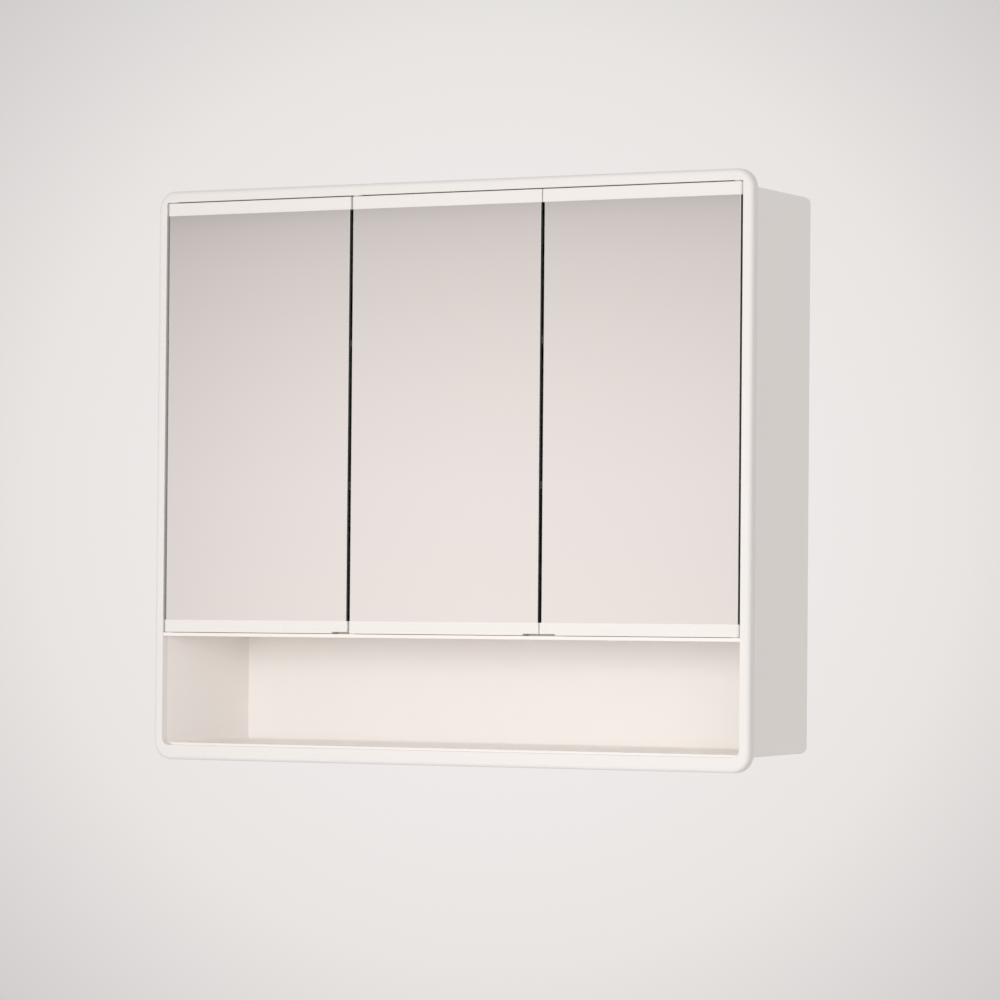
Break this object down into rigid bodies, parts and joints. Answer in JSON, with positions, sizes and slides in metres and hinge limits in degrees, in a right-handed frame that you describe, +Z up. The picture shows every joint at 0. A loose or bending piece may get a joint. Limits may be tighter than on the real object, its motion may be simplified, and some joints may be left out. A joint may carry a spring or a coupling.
{
  "type": "mirror cabinet",
  "caption": "Wall-hung mirror cabinet: mirror doors on pin hinges above a full-width open shelf, in a moulded plastic body with a rounded front frame.",
  "frame": {"origin": "centre of the flat back face, on the wall plane", "axes": "+X across the cabinet, +Y into the wall, +Z up; the front faces -Y"},
  "size_m": [0.58, 0.13, 0.49],
  "materials": {
    "shell_plastic": "white moulded polystyrene, satin",
    "frame_plastic": "white moulded polystyrene, polished front",
    "rail_plastic": "white extruded rail, satin",
    "inner_plastic": "white moulded plastic, fine texture",
    "shelf_plastic": "white moulded plastic, fine texture",
    "back_panel_plastic": "light grey-white sheet",
    "catch_plastic": "dark grey moulded plastic, fine texture",
    "bush_plastic": "natural acetal",
    "mirror_glass": "silvered glass, ground edges",
    "zinc_steel": "bright zinc plate",
    "magnet": "sintered ferrite",
    "bumper_rubber": "translucent white silicone"
  },
  "bodies": {
    "root": {"body_shell": "shell_plastic", "front_frame": "frame_plastic", "divider_shelf": "inner_plastic", "left_partition": "inner_plastic", "right_partition": "inner_plastic", "shelf_left_lower": "shelf_plastic", "shelf_left_upper": "shelf_plastic", "shelf_middle_lower": "shelf_plastic", "shelf_middle_upper": "shelf_plastic", "shelf_right_lower": "shelf_plastic", "shelf_right_upper": "shelf_plastic", "top_bushes": "bush_plastic", "bottom_bushes": "bush_plastic", "catch_housings": "catch_plastic", "catch_magnets": "magnet", "catch_screws": "zinc_steel", "frame_screws": "zinc_steel", "divider_screws": "zinc_steel", "hanger_plates": "zinc_steel", "hanger_screws": "zinc_steel"},
    "left_door": {"left_mirror": "mirror_glass", "left_back_panel": "back_panel_plastic", "left_top_rail": "rail_plastic", "left_bottom_rail": "rail_plastic", "left_pivot_pins": "zinc_steel", "left_strike_plate": "zinc_steel", "left_bumpers": "bumper_rubber"},
    "middle_door": {"middle_mirror": "mirror_glass", "middle_back_panel": "back_panel_plastic", "middle_top_rail": "rail_plastic", "middle_bottom_rail": "rail_plastic", "middle_pivot_pins": "zinc_steel", "middle_strike_plate": "zinc_steel", "middle_bumpers": "bumper_rubber"},
    "right_door": {"right_mirror": "mirror_glass", "right_back_panel": "back_panel_plastic", "right_top_rail": "rail_plastic", "right_bottom_rail": "rail_plastic", "right_pivot_pins": "zinc_steel", "right_strike_plate": "zinc_steel", "right_bumpers": "bumper_rubber"}
  },
  "joints": [
    {"name": "left_door_hinge", "type": "hinge", "parent": "root", "child": "left_door", "pos_m": [-0.2755, -0.1255, 0.04945], "axis": [0, 0, -1], "range_deg": [0, 95]},
    {"name": "middle_door_hinge", "type": "hinge", "parent": "root", "child": "middle_door", "pos_m": [-0.08857, -0.1255, 0.04945], "axis": [0, 0, -1], "range_deg": [0, 95]},
    {"name": "right_door_hinge", "type": "hinge", "parent": "root", "child": "right_door", "pos_m": [0.2755, -0.1255, 0.04945], "axis": [0, 0, 1], "range_deg": [0, 95]}
  ]
}
